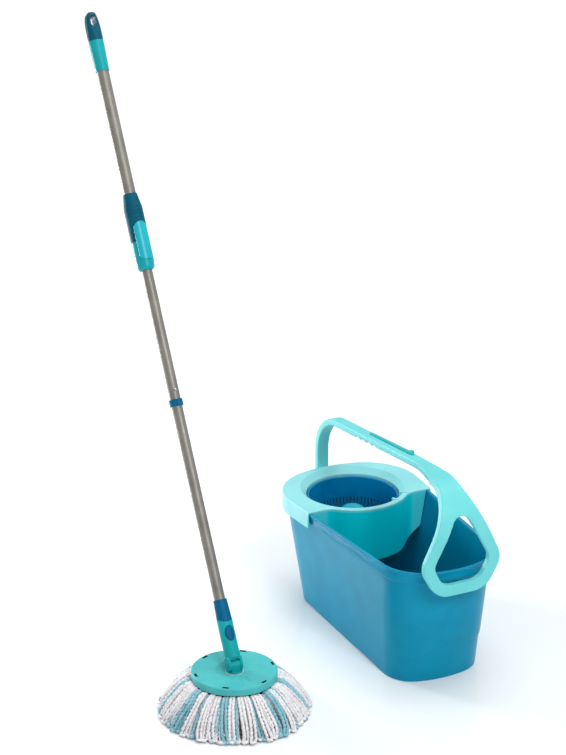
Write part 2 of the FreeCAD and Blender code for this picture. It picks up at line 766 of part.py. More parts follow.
def fringe_ring():
    """The ring that carries the strands, with hooks that come up through the disc's windows."""
    top = DISC_TOP - DISC_SIDE - 1
    low = top - 6
    outer = DISC_R - DISC_WALL - GAP
    body = ring(outer, RING_INNER, low, top)
    hooks = []
    for i in range(HOOK_COUNT):
        t, w = HOOK_T / 2, HOOK_W / 2
        hook = box(HOOK_AT - t, HOOK_AT + t, -w, w, top - 1, DISC_TOP + 0.6)
        hooks.append(turned_about_z(hook, HOOK_TURN + 60 * i))
    return at_head(body.fuse(hooks))


def fringe():
    """The strands' outer shape where they spread on the floor, as one soft solid."""
    ring_low = DISC_TOP - DISC_SIDE - 7
    ring_r = DISC_R - 2.0
    well = STEM_BORE + BOSS_WALL + 6
    profile = [
        (0, 0),
        (FRINGE_R, 0),
        (FRINGE_R, 12),
        (FRINGE_R - 7, 34),
        (FRINGE_R - 23, 56),
        (FRINGE_R - 45, 69),
        (ring_r + 6, ring_low + 6),
        (ring_r, ring_low + 6),
        (ring_r, ring_low),
        (well, ring_low),
        (well, BOSS_LOW - 12),
        (0, BOSS_LOW - 12),
    ]
    return at_head(turned(profile))


def swivel_knuckle():
    """A flanged stem that turns in the disc, with the block that the pole's fork hinges on."""
    stem = disc(STEM_R, BOSS_LOW - 4, FLANGE_Z + 1)
    groove = ring(STEM_R + 1, STEM_R - 1.5, BOSS_LOW - GAP - 1.7, BOSS_LOW - GAP)
    flange = disc(FLANGE_R, FLANGE_Z + 1.2, FLANGE_Z + 3.0)
    neck = disc(STEM_R, FLANGE_Z, FLANGE_Z + 1.3)
    half = KNUCKLE_HALF
    block = box(-KNUCKLE_R, KNUCKLE_R, -half, half, FLANGE_Z + 2, PIN_Z)
    crown = rod_along(Y_AXIS, KNUCKLE_R, V(0, -half, PIN_Z), 2 * half)
    bore = rod_along(Y_AXIS, PIN_R, V(0, -30, PIN_Z), 60)
    knuckle = stem.cut(groove).fuse([neck, flange, block, crown]).cut(bore)
    return at_head(knuckle)


def thrust_washer():
    return at_head(ring(FLANGE_R + 1, STEM_R, FLANGE_Z, FLANGE_Z + 1.2))


def knuckle_clip():
    low = BOSS_LOW - GAP - 1.7
    clip = ring(STEM_R + 3, STEM_R - 1.5, low, low + 1.7)
    return at_head(clip.cut(box(0, 20, -4, 4, low - 1, low + 3)))


def hinge_pin():
    pin = rod_along(Y_AXIS, PIN_R, V(0, -PIN_HALF, PIN_Z), 2 * PIN_HALF)
    return at_head(pin)


# ---------------------------------------------------------------- lower pole
def tongue(low, radius):
    """The space above a downward-curved edge, seen from the front: the collar's lower edge."""
    centre = low + radius - 3
    column = box(-40, 40, -40, 40, centre, centre + 400)
    return column.fuse(rod_along(X_AXIS, radius, V(-40, 0, centre), 80))


def socket_fork():
    arm = SOCKET_R - 0.5
    body = disc(SOCKET_R, FORK_TOP, COLLAR_LOW + 8)
    arms = box(-FORK_ARM_R, FORK_ARM_R, -arm, arm, 0, FORK_TOP + 1)
    arms = arms.fuse(rod_along(Y_AXIS, FORK_ARM_R, V(0, -arm, 0), 2 * arm))
    body = body.fuse(arms)
    slot = KNUCKLE_HALF + GAP
    body = body.cut(box(-20, 20, -slot, slot, -20, KNUCKLE_R + GAP))
    body = body.cut(rod_along(Y_AXIS, PIN_R + RUN, V(0, -40, 0), 80))
    body = body.cut(disc(SOCKET_BORE, FORK_TOP + 8, COLLAR_LOW + 20))
    body = body.cut(tongue(COLLAR_LOW, 22))
    return body.cut(button_column(BUTTON_W + 2 * GAP, BUTTON_L + 2 * GAP))


def button_column(width, length):
    """An oval column towards the front at the release button."""
    oval = Part.Ellipse(V(0, 0, 0), length / 2, width / 2).toShape()
    face = Part.Face(Part.Wire(oval))
    face.rotate(V(0, 0, 0), Y_AXIS, -90)
    face.translate(V(4, 0, BUTTON_AT))
    return face.extrude(V(30, 0, 0))


def pole_end_collar():
    """The blue collar at the pole's end and the spigot below it that the socket latches on."""
    reach = COLLAR_TOP - COLLAR_LOW
    cone = Part.makeCone(SOCKET_R, COLLAR_TOP_R, reach + 6, V(0, 0, COLLAR_LOW - 6))
    collar = cone.common(tongue(COLLAR_LOW, 22))
    spigot = disc(SOCKET_BORE - SEAT, FORK_TOP + 12, COLLAR_TOP - 10)
    piece = collar.fuse(spigot).cut(disc(TUBE_R - 3, FORK_TOP + 10, COLLAR_TOP + 1))
    piece = piece.cut(disc(TUBE_R, TUBE_START, COLLAR_TOP + 1))
    half_w, half_l = BUTTON_W / 2 + 3, BUTTON_L / 2 + 3
    pocket = box(0, 20, -half_w, half_w, BUTTON_AT - half_l, BUTTON_AT + half_l)
    return piece.cut(pocket.common(disc(SOCKET_BORE + 1, 0, COLLAR_LOW - 4)))


def release_button():
    head = button_column(BUTTON_W, BUTTON_L).common(disc(SOCKET_R + 0.9, 0, 200))
    head = head.cut(disc(SOCKET_BORE - 2, 0, 200))
    flange = button_column(BUTTON_W + 3, BUTTON_L + 3).common(disc(SOCKET_BORE - GAP, 0, 200))
    flange = flange.cut(disc(SOCKET_BORE - 2.6, 0, 200))
    back = rod_along(X_AXIS, 3.0, V(SOCKET_BORE - 4.5, 0, BUTTON_AT), 4.0)
    return head.fuse([flange, back])


def release_spring():
    start = V(-TUBE_R + 3.5, 0, BUTTON_AT)
    coil = rod_along(X_AXIS, 2.6, start, SOCKET_BORE - 4.6 - start.x)
    return coil.cut(rod_along(X_AXIS, 1.7, start - V(1, 0, 0), 40))


def lower_tube():
    return ring(TUBE_R, TUBE_R - TUBE_WALL, TUBE_START, JOINT_AT)


def mid_tube():
    tube = ring(TUBE_R, TUBE_R - TUBE_WALL, JOINT_AT, MID_TOP)
    return tube.cut(rod_along(X_AXIS, SNAP_R + GAP, V(0, 0, SNAP_AT), 30))


def joint_ring():
    body = turned(
        [
            (TUBE_R, JOINT_AT - JOINT_HALF),
            (JOINT_R, JOINT_AT - JOINT_HALF),
            (JOINT_R, JOINT_AT + JOINT_HALF),
            (TUBE_R, JOINT_AT + JOINT_HALF),
        ],
        [0, 1.2, 1.2, 0],
    )
    tab = box(JOINT_R - 1.5, JOINT_R + 2.2, -3.5, 3.5, JOINT_AT - JOINT_HALF, JOINT_AT + 3)
    return body.fuse(tab)


def joint_sleeve():
    outer = TUBE_R - TUBE_WALL
    sleeve = ring(outer, outer - 1.2, JOINT_AT - SLEEVE_HALF, JOINT_AT + SLEEVE_HALF)
    return sleeve.cut(rod_along(X_AXIS, SNAP_R + GAP, V(0, 0, SNAP_AT), 30))


def snap_button():
    inside = TUBE_R - TUBE_WALL - 1.2 - GAP
    head = rod_along(X_AXIS, SNAP_R, V(inside - 4, 0, SNAP_AT), TUBE_R + 1.4 - inside + 4)
    dome = Part.makeSphere(6.0, V(TUBE_R + 1.4 - 5.8, 0, SNAP_AT))
    head = head.common(dome.fuse(box(0, TUBE_R - 1, -9, 9, SNAP_AT - 9, SNAP_AT + 9)))
    flange = rod_along(X_AXIS, SNAP_R + 1.3, V(inside - 4, 0, SNAP_AT), 1.6)
    return head.fuse(flange)


def snap_spring():
    """A leaf spring bent in a V, one leg behind the snap button and one against the far wall."""
    inside = TUBE_R - TUBE_WALL - 1.2
    reach = inside - GAP - 4
    width = 3.0
    points = [
        V(reach, 0, SNAP_AT + 6),
        V(reach, 0, SNAP_AT - 5),
        V(-inside + 1.4, 0, SNAP_AT - 27),
        V(-inside + 1.4, 0, SNAP_AT + 2),
        V(-inside + 2.0, 0, SNAP_AT + 2),
        V(-inside + 2.0, 0, SNAP_AT - 25.6),
        V(reach - 0.6, 0, SNAP_AT - 4.6),
        V(reach - 0.6, 0, SNAP_AT + 6),
    ]
    face = Part.Face(Part.Wire(rounded(points, [0] * 8)))
    face.translate(V(0, -width, 0))
    return face.extrude(V(0, 2 * width, 0))


CAGE_R = TUBE_R - TUBE_WALL
NUT_R = CAGE_R - CAGE_WALL - RUN


def nut_cage():
    """A sleeve fixed in the top of the lower pole that holds the drive nut."""
    low, high = CAGE_LOW, CAGE_LOW + CAGE_LEN
    cage = ring(CAGE_R, CAGE_R - CAGE_WALL, low, high)
    floor = ring(CAGE_R - CAGE_WALL + 0.5, 5.0, low, NUT_LOW - GAP)
    return cage.fuse(floor)


def cage_cap():
    low = NUT_LOW + NUT_LEN + GAP
    return ring(CAGE_R - CAGE_WALL, 5.0, low, CAGE_LOW + CAGE_LEN)


def rod_turn(height):
    """How far the twisted rod has turned at a height, in degrees."""
    return 360.0 * (height - NUT_LOW) / ROD_PITCH


def drive_nut():
    """A nut with a slotted lip that the twisted rod turns as it slides through."""
    nut = disc(NUT_R, NUT_LOW, NUT_LOW + NUT_LEN)
    nut = nut.cut(disc(ROD_W / 2 + 0.8, NUT_LOW + NUT_LIP, NUT_LOW + NUT_LEN + 1))
    sweep = math.radians(180.0 * NUT_LIP / ROD_PITCH)
    half_t = ROD_T / 2 + ROD_W / 2 * math.sin(sweep) + 0.2
    half_w = ROD_W / 2 + GAP
    slot = box(-half_w, half_w, -half_t, half_t, NUT_LOW - 1, NUT_LOW + NUT_LIP + 1)
    return nut.cut(turned_about_z(slot, rod_turn(NUT_LOW + NUT_LIP / 2)))


# ---------------------------------------------------------------- upper pole
def twisted_rod():
    """A flat bar twisted along its length."""
    steps_per_turn = 12
    step = ROD_PITCH / steps_per_turn
    count = int(round((ROD_TOP - ROD_LOW) / step))
    step = (ROD_TOP - ROD_LOW) / count
    sections = []
    for i in range(count + 1):
        z = ROD_LOW + i * step
        w, t = ROD_W / 2, ROD_T / 2
        corners = [V(-w, -t, z), V(w, -t, z), V(w, t, z), V(-w, t, z), V(-w, -t, z)]
        wire = Part.makePolygon(corners)
        wire.rotate(V(0, 0, 0), Z_AXIS, rod_turn(z))
        sections.append(wire)
    return Part.makeLoft(sections, True, False)


def rod_plug():
    plug = disc(UPPER_R - UPPER_WALL, PLUG_LOW, PLUG_LOW + PLUG_LEN)
    return plug.cut(disc(ROD_W / 2 + 0.6, PLUG_LOW - 1, ROD_TOP + 1))


def upper_tube():
    tube = ring(UPPER_R, UPPER_R - UPPER_WALL, UPPER_LOW, UPPER_TOP)
    return tube.cut(screw_at(SCREW_UPPER, SCREW_R))


def grip_body():
    return turned(
        [
            (0, GRIP_LOW),
            (GRIP_R - 2, GRIP_LOW),
            (GRIP_R, GRIP_LOW + 20),
            (GRIP_R, GRIP_TOP - 30),
            (UPPER_R + 1.5, GRIP_TOP),
            (0, GRIP_TOP),
        ],
        [0, 8, 30, 40, 1.0, 0],
    )


SCREW_R = 1.5
SCREW_LOWER = BUSH_LOW + 12
SCREW_UPPER = UPPER_LOW + 45.0
GRIP_CAVITY = GRIP_R - GRIP_WALL


def screw_at(height, radius):
    return rod_along(V(-1, 0, 0), radius, V(0, 0, height), 40)


def stem_slot():
    half = STEM_HALF + GAP
    return box(0, 40, -half, half, STEM_LOW - GAP, STEM_LOW + STEM_L + SLIDER_TRAVEL + GAP)


def grip_cut(shell):
    """What both grip shells leave room for: the slider's stem and the screws."""
    shell = shell.cut(stem_slot())
    for height in (SCREW_LOWER, SCREW_UPPER):
        shell = shell.cut(screw_at(height, SCREW_R))
        shell = shell.cut(rod_along(V(-1, 0, 0), 3.2, V(-GRIP_R + 1.5, 0, height), 10))
    return shell


def grip_lower():
    body = grip_body().common(box(-50, 50, -50, 50, GRIP_LOW - 1, GRIP_SPLIT))
    body = body.cut(disc(GRIP_CAVITY, GRIP_LOW + 5, GRIP_SPLIT + 1))
    body = body.cut(disc(TUBE_R + 1, GRIP_LOW - 1, GRIP_LOW + 6))
    return grip_cut(body)


def grip_upper():
    body = grip_body().common(box(-50, 50, -50, 50, GRIP_SPLIT, GRIP_TOP + 1))
    body = body.cut(disc(GRIP_CAVITY, GRIP_SPLIT - 1, UPPER_LOW + 2))
    body = body.cut(disc(UPPER_R, UPPER_LOW, GRIP_TOP + 1))
    ribs = []
    for i in range(7):
        z = GRIP_TOP - 24 - 7 * i
        ribs.append(Part.makeTorus(GRIP_R + 0.4, 1.4, V(0, 0, z)))
    front = box(0, 40, -9, 9, GRIP_SPLIT, GRIP_TOP - 15)
    body = body.cut([r.common(front) for r in ribs])
    return grip_cut(body)


def grip_screws():
    screws = []
    inner = {SCREW_LOWER: TUBE_R + 2.0, SCREW_UPPER: UPPER_R - UPPER_WALL}
    for height in (SCREW_LOWER, SCREW_UPPER):
        start = inner[height]
        shank = rod_along(V(-1, 0, 0), SCREW_R, V(-start, 0, height), GRIP_R - 1 - start)
        head = rod_along(V(-1, 0, 0), 2.8, V(-GRIP_R + 1.5, 0, height), 1.3)
        screws.append(shank.fuse(head))
    return screws


def guide_bush():
    bush = ring(GRIP_CAVITY, TUBE_R + RUN, BUSH_LOW, BUSH_LOW + BUSH_LEN)
    hole = rod_along(V(-1, 0, 0), SCREW_R, V(-TUBE_R - 2, 0, SCREW_LOWER), 20)
    return bush.cut(hole)


def slider_outline():
    mid = SLIDER_HALF
    points = [
        V(0, -mid, SLIDER_LOW),
        V(0, mid, SLIDER_LOW),
        V(0, mid, SLIDER_TOP),
        V(0, -mid, SLIDER_TOP),
    ]
    return outline_face(points, [9, 9, mid - 0.01, mid - 0.01]).extrude(V(40, 0, 0))


def lock_slider():
    """The thumb piece on the front of the grip, and its stem through the slot."""
    low = GRIP_R + GAP
    plate = ring(low + SLIDER_T, low, SLIDER_LOW - 1, SLIDER_TOP + 1).common(slider_outline())
    stem = box(GRIP_CAVITY - 1, low + 0.5, -STEM_HALF, STEM_HALF, STEM_LOW, STEM_LOW + STEM_L)
    return plate.fuse(stem)


def lock_shoe():
    """The shoe inside the grip that the slider presses onto the lower pole."""
    block = ring(GRIP_CAVITY - 1, TUBE_R + GAP, STEM_LOW, STEM_LOW + STEM_L)
    return block.common(box(4, 15.0, -9, 9, 0, 2000))


def cap_sleeve():
    cone = Part.makeCone(CAP_R_LOW, CAP_R_TOP, CAP_TOP - CAP_LOW, V(0, 0, CAP_LOW))
    cone = cone.cut(disc(UPPER_R, CAP_LOW - 1, UPPER_TOP))
    return cone.cut(disc(9.0, UPPER_TOP - 1, CAP_TOP + 1))


def hanging_eye():
    """A rounded eye with a long hole through it from front to back, on a spigot in the sleeve."""
    half, top = CAP_R_TOP, EYE_TOP
    front = outline_face(
        [V(0, -half, CAP_TOP), V(0, half, CAP_TOP), V(0, half - 2, top), V(0, 2 - half, top)],
        [0, 0, half - 3.5, half - 3.5],
    )
    front.translate(V(-40, 0, 0))
    side = outline_face(
        [V(-half, 0, CAP_TOP), V(half, 0, CAP_TOP), V(half - 5, 0, top), V(5 - half, 0, top)],
        [0, 0, 8, 8],
    )
    side.translate(V(0, -40, 0))
    eye = front.extrude(V(80, 0, 0)).common(side.extrude(V(0, 80, 0)))
    eye = eye.common(turned([(0, CAP_TOP), (half, CAP_TOP), (half, top + 1), (0, top + 1)]))
    middle = top - 9 - EYE_HOLE_L / 2
    w, h = EYE_HOLE_W / 2, EYE_HOLE_L / 2
    hole = outline_face(
        [V(-40, -w, middle - h), V(-40, w, middle - h), V(-40, w, middle + h), V(-40, -w, middle + h)],
        [w - 0.01] * 4,
    )
    eye = eye.cut(hole.extrude(V(80, 0, 0)))
    return eye.fuse(disc(9.0, UPPER_TOP + 3, CAP_TOP + 0.5))


# ---------------------------------------------------------------- all pieces
BUCKET = {
    "bucket_tub": bucket_tub,
    "insert_frame": insert_frame,
    "basket_axle": basket_axle,
    "basket_clip": basket_clip,
    "spin_basket": spin_basket,
    "basket_hub": basket_hub,
    "basket_bush": basket_bush,
    "bail_handle": bail_handle,
    "bail_rail": bail_rail,
    "mop_disc": mop_disc,
    "fringe_ring": fringe_ring,
    "fringe": fringe,
    "swivel_knuckle": swivel_knuckle,
    "thrust_washer": thrust_washer,
    "knuckle_clip": knuckle_clip,
    "hinge_pin": hinge_pin,
}
POLE = {
    "socket_fork": socket_fork,
    "pole_end_collar": pole_end_collar,
    "release_button": release_button,
    "release_spring": release_spring,
    "lower_tube": lower_tube,
    "joint_ring": joint_ring,
    "joint_sleeve": joint_sleeve,
    "snap_button": snap_button,
    "snap_spring": snap_spring,
    "mid_tube": mid_tube,
    "nut_cage": nut_cage,
    "cage_cap": cage_cap,
    "drive_nut": drive_nut,
    "twisted_rod": twisted_rod,
    "rod_plug": rod_plug,
    "upper_tube": upper_tube,
    "grip_lower": grip_lower,
    "grip_upper": grip_upper,
    "guide_bush": guide_bush,
    "lock_slider": lock_slider,
    "lock_shoe": lock_shoe,
    "cap_sleeve": cap_sleeve,
    "hanging_eye": hanging_eye,
}

os.makedirs("parts", exist_ok=True)
for name, make in BUCKET.items():
    save(name, make())
for name, make in POLE.items():
    save(name, on_pole(make()))
save("bail_pivots", Part.makeCompound(bail_pivots()))
save("grip_screws", Part.makeCompound([on_pole(screw) for screw in grip_screws()]))
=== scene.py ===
"""The looks of a spin mop and its bucket: moulded plastics, lacquered tubes and a fringe of twisted yarn."""
import json
import math
import random

import bmesh
import bpy
from mathutils import Euler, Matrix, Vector


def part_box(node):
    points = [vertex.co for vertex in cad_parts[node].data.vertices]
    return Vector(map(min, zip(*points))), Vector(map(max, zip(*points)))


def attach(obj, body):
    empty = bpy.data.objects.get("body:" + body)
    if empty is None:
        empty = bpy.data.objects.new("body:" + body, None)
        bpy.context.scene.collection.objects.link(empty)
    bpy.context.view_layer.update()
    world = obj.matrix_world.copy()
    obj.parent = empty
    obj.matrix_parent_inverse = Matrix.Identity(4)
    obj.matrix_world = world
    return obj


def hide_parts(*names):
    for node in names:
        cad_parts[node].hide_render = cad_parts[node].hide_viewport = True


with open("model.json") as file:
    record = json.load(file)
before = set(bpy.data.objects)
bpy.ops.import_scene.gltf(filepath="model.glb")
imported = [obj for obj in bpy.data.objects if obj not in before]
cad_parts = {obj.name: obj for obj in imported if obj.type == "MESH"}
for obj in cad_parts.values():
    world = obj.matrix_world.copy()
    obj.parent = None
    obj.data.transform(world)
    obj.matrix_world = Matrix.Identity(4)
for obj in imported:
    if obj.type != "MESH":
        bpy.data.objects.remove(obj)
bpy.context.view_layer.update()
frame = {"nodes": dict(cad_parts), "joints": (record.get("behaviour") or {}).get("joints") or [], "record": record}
NODES = frame["nodes"]
JOINTS = {joint["name"]: joint for joint in frame["joints"]}
MM = 0.001


# ------------------------------------------------------------ colour and nodes
def colour(code):
    """An sRGB hex colour as linear RGBA."""
    parts = [int(code[i:i + 2], 16) / 255 for i in (1, 3, 5)]
    return [p / 12.92 if p <= 0.04045 else ((p + 0.055) / 1.055) ** 2.4 for p in parts] + [1.0]


def add(tree, kind, inputs=None, **settings):
    """Adds a node; each input is a value, or an output socket to link from."""
    node = tree.nodes.new(kind)
    for key, value in settings.items():
        setattr(node, key, value)
    for key, value in (inputs or {}).items():
        socket = node.inputs[key]
        if isinstance(value, bpy.types.NodeSocket):
            tree.links.new(value, socket)
        else:
            socket.default_value = value
    return node


def material(name):
    """An empty node material: its tree, its shader and its object coordinates."""
    made = bpy.data.materials.new(name)
    made.use_nodes = True
    tree = made.node_tree
    tree.nodes.clear()
    shader = add(tree, "ShaderNodeBsdfPrincipled")
    out = add(tree, "ShaderNodeOutputMaterial")
    tree.links.new(shader.outputs["BSDF"], out.inputs["Surface"])
    where = add(tree, "ShaderNodeTexCoord").outputs["Object"]
    return made, tree, shader, where


def moulded(name, face, shade, rough=0.32, grain_mm=0.9, depth=0.25, scuffs=0.12, shine=0.2, wall=None):
    """Injection-moulded plastic: clouded pigment, a fine eroded grain and faint rub marks.

    The real grain is finer than the one drawn here, which is as coarse as it needs to be to show.
    A wall colour paints shade on the insert's partition below the collar's edge, deeper than the collar."""
    made, tree, shader, where = material(name)
    cloud = add(tree, "ShaderNodeTexNoise", {"Vector": where, "Scale": 1 / (60 * MM), "Detail": 3.0})
    speck = add(tree, "ShaderNodeTexNoise", {"Vector": where, "Scale": 1 / (2.2 * MM), "Detail": 4.0})
    grain = add(tree, "ShaderNodeTexNoise", {"Vector": where, "Scale": 1 / (grain_mm * MM), "Detail": 2.0})
    rubbed = add(tree, "ShaderNodeMapping", {"Vector": where, "Scale": (1.0, 1.0, 2.5),
                                             "Rotation": (0.3, 0.5, 0.2)})
    rub = add(tree, "ShaderNodeTexNoise", {"Vector": rubbed.outputs[0], "Scale": 1 / (14 * MM),
                                           "Detail": 6.0, "Roughness": 0.7})
    ease = add(tree, "ShaderNodeMapRange", {"Value": cloud.outputs["Fac"], "From Min": 0.35,
                                            "From Max": 0.65})
    tint = add(tree, "ShaderNodeMix", {0: ease.outputs[0], 6: colour(face), 7: colour(shade)},
               data_type="RGBA")
    # Painted shade: the partition, past the collar's end and below its edge, is blended to the wall colour.
    if wall:
        apart = add(tree, "ShaderNodeSeparateXYZ", {0: where})
        past = add(tree, "ShaderNodeMapRange", {"Value": apart.outputs[0], "From Min": WALL_SHADE_X[0] * MM,
                                                "From Max": WALL_SHADE_X[1] * MM})
        down = add(tree, "ShaderNodeMapRange", {"Value": apart.outputs[2], "From Min": WALL_SHADE_Z[0] * MM,
                                                "From Max": WALL_SHADE_Z[1] * MM})
        both = add(tree, "ShaderNodeMath", {0: past.outputs[0], 1: down.outputs[0]}, operation="MULTIPLY")
        tint = add(tree, "ShaderNodeMix", {0: both.outputs[0], 6: tint.outputs[2], 7: colour(wall)},
                   data_type="RGBA")
    fleck = add(tree, "ShaderNodeMapRange", {"Value": speck.outputs["Fac"], "From Min": 0.3,
                                             "From Max": 0.7, "To Min": 0.97, "To Max": 1.03})
    final = add(tree, "ShaderNodeHueSaturation", {"Color": tint.outputs[2], "Value": fleck.outputs[0]})
    worn = add(tree, "ShaderNodeMapRange", {"Value": rub.outputs["Fac"], "From Min": 0.45, "From Max": 0.75,
                                            "To Min": rough, "To Max": rough + scuffs * 0.5})
    bump = add(tree, "ShaderNodeBump", {"Height": grain.outputs["Fac"], "Strength": depth,
                                        "Distance": 0.05 * MM})
    tree.links.new(final.outputs[0], shader.inputs["Base Color"])
    tree.links.new(worn.outputs[0], shader.inputs["Roughness"])
    tree.links.new(bump.outputs[0], shader.inputs["Normal"])
    shader.inputs["Specular IOR Level"].default_value = shine
    return made


def along_pole(tree, where):
    """Coordinates turned so that Z runs along the leaning pole."""
    turn = Vector(POLE_UP).rotation_difference(Vector((0, 0, 1))).to_euler()
    return add(tree, "ShaderNodeMapping", {"Vector": where, "Rotation": tuple(turn)}).outputs[0]


def lacquered_tube(name, face, shade):
    """Drawn aluminium tube under thin lacquer: fine lines along it and small handling marks.

    The lines are drawn wider apart than real ones, so that they show."""
    made, tree, shader, where = material(name)
    up = along_pole(tree, where)
    drawn = add(tree, "ShaderNodeMapping", {"Vector": up, "Scale": (1.0, 1.0, 0.02)})
    lines = add(tree, "ShaderNodeTexNoise", {"Vector": drawn.outputs[0], "Scale": 1 / (0.9 * MM),
                                             "Detail": 3.0})
    cloud = add(tree, "ShaderNodeTexNoise", {"Vector": where, "Scale": 1 / (45 * MM), "Detail": 4.0})
    marks = add(tree, "ShaderNodeTexNoise", {"Vector": where, "Scale": 1 / (5 * MM), "Detail": 8.0,
                                             "Roughness": 0.75})
    both = add(tree, "ShaderNodeMath", {0: lines.outputs["Fac"], 1: cloud.outputs["Fac"]},
               operation="MULTIPLY")
    ease = add(tree, "ShaderNodeMapRange", {"Value": both.outputs[0], "From Min": 0.15, "From Max": 0.38})
    tint = add(tree, "ShaderNodeMix", {0: ease.outputs[0], 6: colour(shade), 7: colour(face)},
               data_type="RGBA")
    worn = add(tree, "ShaderNodeMapRange", {"Value": marks.outputs["Fac"], "From Min": 0.4, "From Max": 0.7,
                                            "To Min": 0.42, "To Max": 0.56})
    bump = add(tree, "ShaderNodeBump", {"Height": lines.outputs["Fac"], "Strength": 0.25,
                                        "Distance": 0.03 * MM})
    tree.links.new(tint.outputs[2], shader.inputs["Base Color"])
    tree.links.new(worn.outputs[0], shader.inputs["Roughness"])
    tree.links.new(bump.outputs[0], shader.inputs["Normal"])
    shader.inputs["Metallic"].default_value = 0.5
    shader.inputs["Specular IOR Level"].default_value = 0.3
    return made


def turned_steel(name, face, rough):
    """Turned or drawn steel: bright, with faint rings of tool marks."""
    made, tree, shader, where = material(name)
    marks = add(tree, "ShaderNodeTexNoise", {"Vector": where, "Scale": 1 / (1.5 * MM), "Detail": 5.0})
    worn = add(tree, "ShaderNodeMapRange", {"Value": marks.outputs["Fac"], "From Min": 0.3, "From Max": 0.7,
                                            "To Min": rough, "To Max": rough + 0.15})
    tint = add(tree, "ShaderNodeMix", {0: marks.outputs["Fac"], 6: colour(face), 7: colour("#8c8f92")},
               data_type="RGBA")
    bump = add(tree, "ShaderNodeBump", {"Height": marks.outputs["Fac"], "Strength": 0.1,
                                        "Distance": 0.03 * MM})
    tree.links.new(tint.outputs[2], shader.inputs["Base Color"])
    tree.links.new(worn.outputs[0], shader.inputs["Roughness"])
    tree.links.new(bump.outputs[0], shader.inputs["Normal"])
    shader.inputs["Metallic"].default_value = 1.0
    return made


def yarn(name, face, shade, tuft_shade):
    """Twisted microfibre yarn: fuzzy, matt, with painted shade that darkens it between its tufts.

    The fuzz is drawn far coarser than real fibres, so that it shows."""
    made, tree, shader, where = material(name)
    fuzz = add(tree, "ShaderNodeTexNoise", {"Vector": where, "Scale": 1 / (0.8 * MM), "Detail": 6.0,
                                            "Roughness": 0.8})
    tufts = add(tree, "ShaderNodeTexVoronoi", {"Vector": where, "Scale": 1 / (1.6 * MM)})
    cloud = add(tree, "ShaderNodeTexNoise", {"Vector": where, "Scale": 1 / (18 * MM), "Detail": 2.0})
    ease = add(tree, "ShaderNodeMapRange", {"Value": cloud.outputs["Fac"], "From Min": 0.35,
                                            "From Max": 0.65})
    tint = add(tree, "ShaderNodeMix", {0: ease.outputs[0], 6: colour(face), 7: colour(shade)},
               data_type="RGBA")
    # Painted shade: the yarn darkens towards its shade colour in the hollows between the tufts.
    tuft_shade_mask = add(tree, "ShaderNodeMapRange", {"Value": tufts.outputs["Distance"], "From Min": 0.35,
                                            "From Max": 0.9, "To Min": 0.0, "To Max": 0.35})
    dark = add(tree, "ShaderNodeMix", {0: tuft_shade_mask.outputs[0], 6: tint.outputs[2], 7: colour(tuft_shade)},
               data_type="RGBA")
    high = add(tree, "ShaderNodeMath", {0: fuzz.outputs["Fac"], 1: tufts.outputs["Distance"]},
               operation="SUBTRACT")
    bump = add(tree, "ShaderNodeBump", {"Height": high.outputs[0], "Strength": 0.8, "Distance": 0.5 * MM})
    tree.links.new(dark.outputs[2], shader.inputs["Base Color"])
    tree.links.new(bump.outputs[0], shader.inputs["Normal"])
    shader.inputs["Roughness"].default_value = 0.95
    shader.inputs["Sheen Weight"].default_value = 0.35
    shader.inputs["Sheen Roughness"].default_value = 0.5
    shader.inputs["Subsurface Weight"].default_value = 0.15
    shader.inputs["Subsurface Radius"].default_value = (0.003, 0.003, 0.003)
    return made


# ------------------------------------------------------------ where things are
POLE_UP = JOINTS["pump"]["axis"]
POLE_FRONT = [-a for a in JOINTS["release_press"]["axis"]]
PIN = Vector(JOINTS["pole_tilt"]["pos_m"])
HEAD = Vector(JOINTS["disc_spin"]["pos_m"])
UP = Vector(POLE_UP).normalized()
FRONT = Vector(POLE_FRONT).normalized()
SIDE = UP.cross(FRONT)
RIM_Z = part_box("bucket_tub")[1][2]
